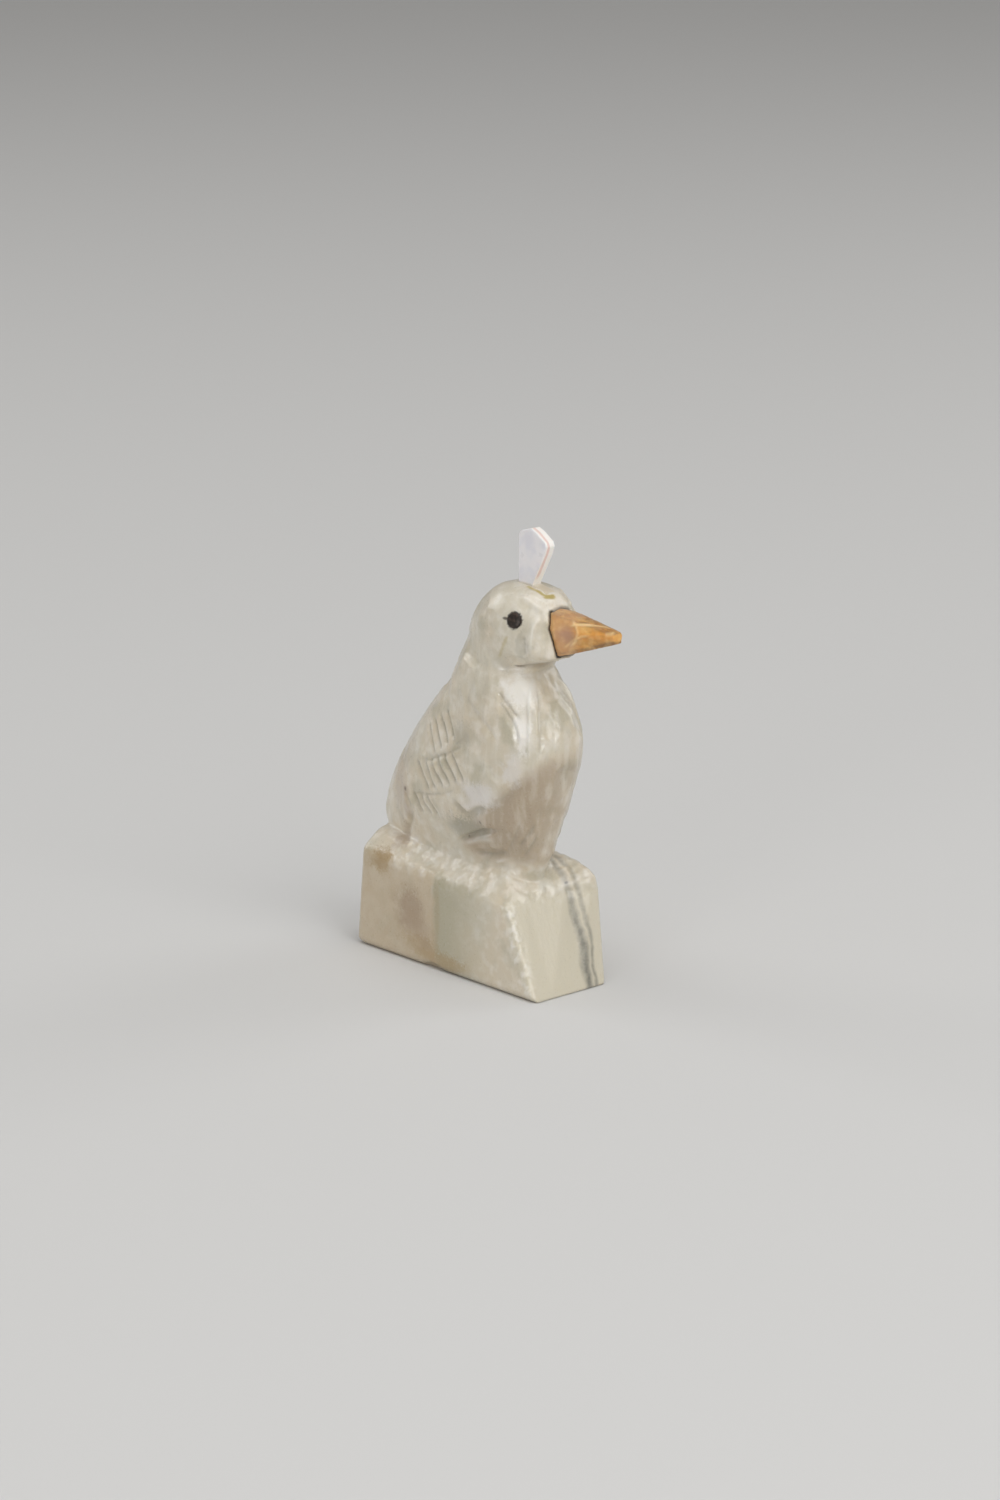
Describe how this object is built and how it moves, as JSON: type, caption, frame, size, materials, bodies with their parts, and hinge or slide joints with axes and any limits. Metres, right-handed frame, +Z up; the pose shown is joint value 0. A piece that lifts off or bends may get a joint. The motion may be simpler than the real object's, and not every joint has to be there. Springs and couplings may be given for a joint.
{
  "type": "quail fetish carving",
  "caption": "Small carved stone quail standing upright on its rough stone block, with an inlaid amber-coloured beak, a shell crest and dark round eyes.",
  "frame": {"origin": "middle of the block's flat underside, which is the face it stands on", "axes": "+Z up, +X forward, the way the beak points, +Y to the bird's left"},
  "size_m": [0.032, 0.0103, 0.0442],
  "materials": {
    "stone": "smooth hand-polished cream stone, a little translucent, with tan and grey bands",
    "beak": "polished golden amber-coloured stone with pinkish brown mottling",
    "crest": "polished white shell with a pink edge",
    "eye": "polished dark brown stone"
  },
  "bodies": {
    "root": {"figure": "stone", "beak": "beak", "crest": "crest", "eye_right": "eye", "eye_left": "eye"}
  },
  "joints": []
}
